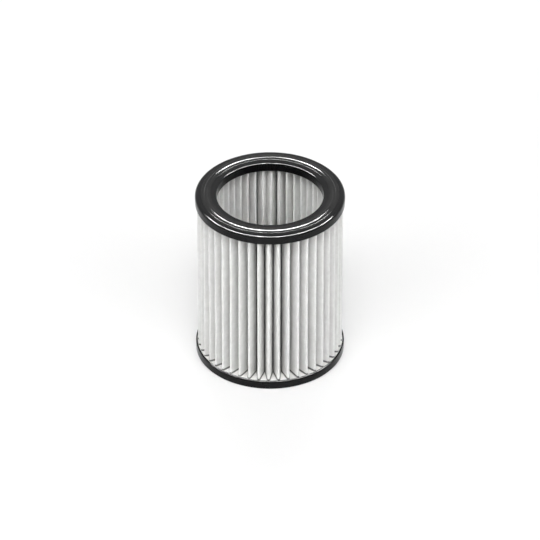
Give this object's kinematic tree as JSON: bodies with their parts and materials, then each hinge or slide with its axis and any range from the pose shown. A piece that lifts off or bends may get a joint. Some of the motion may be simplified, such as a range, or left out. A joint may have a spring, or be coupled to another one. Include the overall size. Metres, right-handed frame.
{
  "type": "pleated filter element",
  "caption": "Round pleated filter element: a white folded sheet set between a black ring cap with an open bore and face seal, and a black closed cap.",
  "frame": {"origin": "centre of the bottom cap's underside", "axes": "+Z along the element's axis, from the closed cap to the open bore; -Y is the front, and the sheet's seam is near +Y"},
  "size_m": [0.08, 0.08, 0.1009],
  "materials": {
    "cap_plastic": "gloss",
    "seal_rubber": "satin",
    "potting_adhesive": "satin",
    "filter_paper": "matte",
    "clip_steel": "satin"
  },
  "bodies": {
    "root": {"top_end_cap": "cap_plastic", "bottom_end_cap": "cap_plastic", "face_seal": "seal_rubber", "top_potting": "potting_adhesive", "bottom_potting": "potting_adhesive", "pleated_media": "filter_paper", "seam_clip": "clip_steel"}
  },
  "joints": []
}
